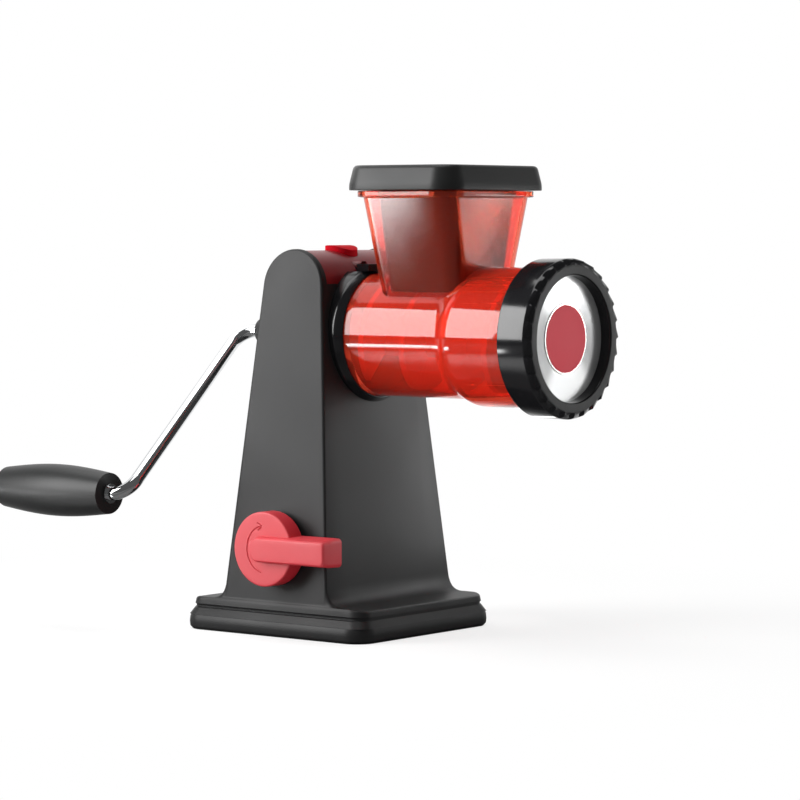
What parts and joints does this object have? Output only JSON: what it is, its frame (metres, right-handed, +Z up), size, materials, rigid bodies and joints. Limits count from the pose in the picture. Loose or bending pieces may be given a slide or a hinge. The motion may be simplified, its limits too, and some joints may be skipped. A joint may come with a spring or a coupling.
{
  "type": "manual meat grinder",
  "caption": "Hand-cranked meat grinder on a black suction stand, with a clear red barrel and hopper, a black pusher and ring nut, and a red suction lever.",
  "frame": {"origin": "centre of the base plate's foot, on the table", "axes": "+X along the barrel towards its outlet, +Z up, -Y towards the suction lever"},
  "size_m": [0.2994, 0.1607, 0.2388],
  "materials": {
    "stand_black": "fine grained matt",
    "cover_red": "deep metallic red lacquer",
    "part_red": "satin red",
    "clear_red": "clear tinted, polished",
    "gloss_black": "polished black",
    "matt_black": "satin black",
    "chrome": "polished",
    "steel": "turned",
    "bright_disc": "turned, fine circular lines",
    "rubber": "matt",
    "white_plastic": "natural",
    "badge_red": "matt print",
    "badge_white": "matt print"
  },
  "bodies": {
    "stand": {"base_plate": "stand_black", "base_screws": "steel", "suction_cup": "rubber", "stand_shell": "stand_black", "top_cover": "cover_red", "button_spring": "steel", "latch_pin": "steel", "barrel_socket": "gloss_black", "socket_screws": "steel", "front_bush": "white_plastic", "rear_bush": "white_plastic", "lever_bushes": "white_plastic", "barrel": "clear_red", "shaft_seal": "rubber", "grinding_plate": "steel"},
    "drive": {"drive_shaft": "steel", "shaft_clips": "steel", "crank_hub": "matt_black", "hub_screw": "matt_black", "crank_rod": "chrome", "grip_retainer": "steel", "auger": "part_red", "knife": "steel"},
    "grip": {"grip": "matt_black", "grip_cap": "part_red"},
    "lever": {"lever": "part_red", "lever_shaft": "steel", "lever_cam": "white_plastic", "lever_pins": "steel"},
    "pull_stem": {"pull_yoke": "steel", "stem_foot": "steel"},
    "button": {"release_button": "part_red"},
    "latch": {"latch": "gloss_black"},
    "pusher": {"pusher_cap": "matt_black", "pusher_body": "matt_black"},
    "front_cover": {"front_disc": "bright_disc", "disc_badge": "badge_red", "badge_rim": "badge_white"},
    "nut": {"ring_nut": "gloss_black"}
  },
  "joints": [
    {"name": "crank_turn", "type": "hinge", "parent": "stand", "child": "drive", "pos_m": [0, 0, 0.153], "axis": [1, 0, 0], "continuous": true},
    {"name": "grip_spin", "type": "hinge", "parent": "drive", "child": "grip", "pos_m": [-0.1139, -0.09066, 0.07137], "axis": [1, 0, 0], "continuous": true},
    {"name": "lever_turn", "type": "hinge", "parent": "stand", "child": "lever", "pos_m": [0, -0.05, 0.045], "axis": [0, -1, 0], "range_deg": [0, 180]},
    {"name": "stem_lift", "type": "slide", "parent": "stand", "child": "pull_stem", "axis": [0, 0, 1], "range_m": [0, 0.004], "deforming": ["suction_cup"]},
    {"name": "button_press", "type": "slide", "parent": "stand", "child": "button", "axis": [0, 0, -1], "range_m": [0, 0.0025], "stiffness_N_per_m": 500, "springref_m": -0.001, "deforming": ["button_spring"]},
    {"name": "latch_tilt", "type": "hinge", "parent": "stand", "child": "latch", "pos_m": [0.012, 0, 0.1844], "axis": [0, -1, 0], "range_deg": [0, 15]},
    {"name": "pusher_lift", "type": "slide", "parent": "stand", "child": "pusher", "axis": [0, 0, 1], "range_m": [0, 0.11]},
    {"name": "nut_travel", "type": "slide", "parent": "stand", "child": "front_cover", "axis": [1, 0, 0], "range_m": [0, 0.008]},
    {"name": "nut_turn", "type": "hinge", "parent": "front_cover", "child": "nut", "pos_m": [0.14, 0, 0.153], "axis": [1, 0, 0], "range_deg": [0, 720]}
  ],
  "couplings": [
    {"joint": "lever_turn", "follows": "stem_lift", "rad_per_m": 785.39},
    {"joint": "latch_tilt", "follows": "button_press", "rad_per_m": 101.2},
    {"joint": "nut_turn", "follows": "nut_travel", "rad_per_m": 1570.7}
  ]
}
